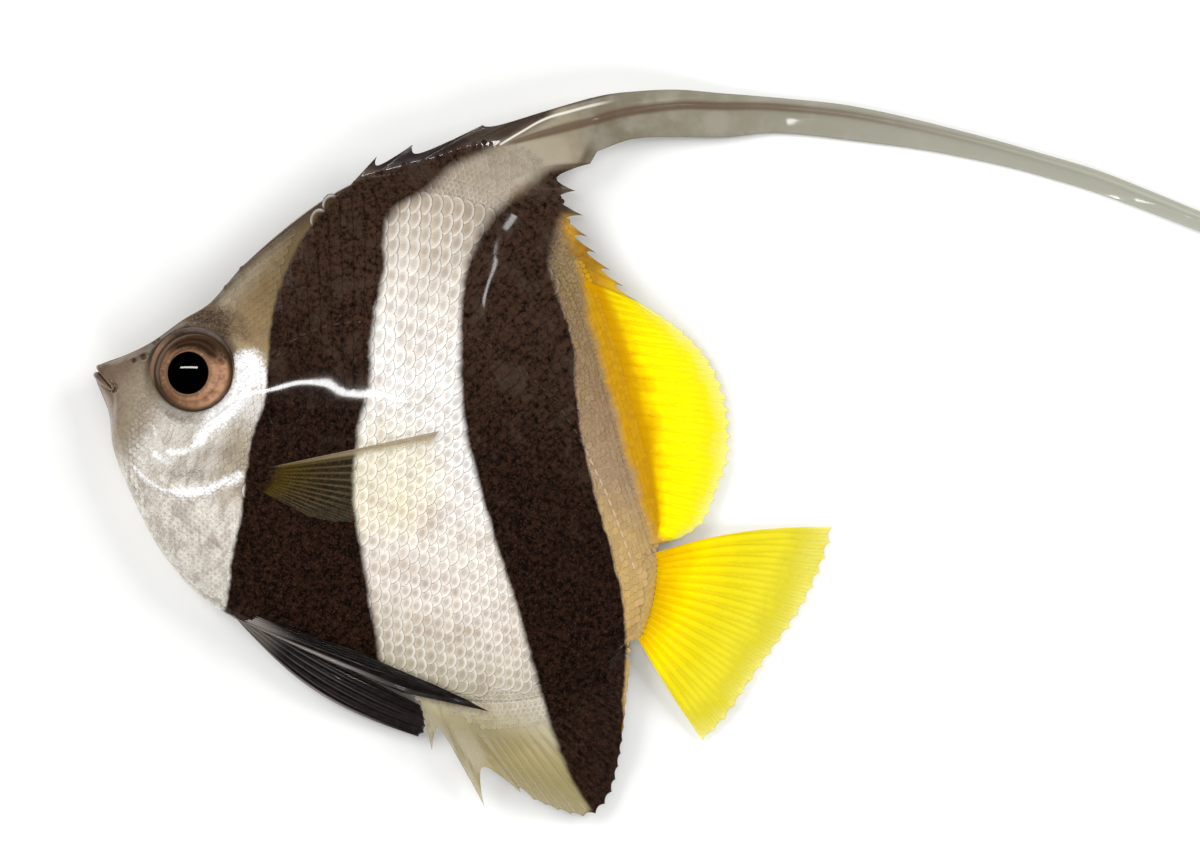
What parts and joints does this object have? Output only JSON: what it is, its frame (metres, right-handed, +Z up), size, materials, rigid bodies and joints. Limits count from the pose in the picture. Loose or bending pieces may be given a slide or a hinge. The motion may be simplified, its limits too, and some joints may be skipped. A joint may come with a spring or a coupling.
{
  "type": "bannerfish",
  "caption": "Schooling bannerfish lying on its flank: deep, thin body, long trailing banner fin, two black bands, yellow tail and rear back fin.",
  "frame": {"origin": "middle of the flat that the right flank rests on, at floor level", "axes": "+X towards the tail and the banner's tip, +Y towards the back, +Z up, out of the left flank"},
  "size_m": [0.1303, 0.0731, 0.012],
  "materials": {
    "silver_skin": "wet silvery skin, dusky on the snout and forehead",
    "banded_skin": "wet white skin with fine scales and two broad black bands",
    "eye": "wet copper-brown iris round a black pupil, under a clear dome",
    "black_fin": "wet brown-black fin membrane over bony rays",
    "yellow_fin": "wet bright yellow fin membrane, clearer at its edge",
    "banner": "wet grey, half-clear filament",
    "clear_fin": "wet, nearly clear fin membrane over fine rays"
  },
  "bodies": {
    "root": {"head": "silver_skin", "trunk": "banded_skin", "tail_stalk": "banded_skin", "eye_left": "eye", "eye_right": "eye", "dorsal_fin_spines": "black_fin", "banner_root": "banner", "banner_middle": "banner", "banner_tip": "banner", "dorsal_fin_soft": "yellow_fin", "tail_fin": "yellow_fin", "anal_fin": "black_fin", "pectoral_fin_left": "clear_fin", "pectoral_fin_right": "clear_fin", "pelvic_fin_left": "black_fin", "pelvic_fin_right": "black_fin"}
  },
  "joints": []
}
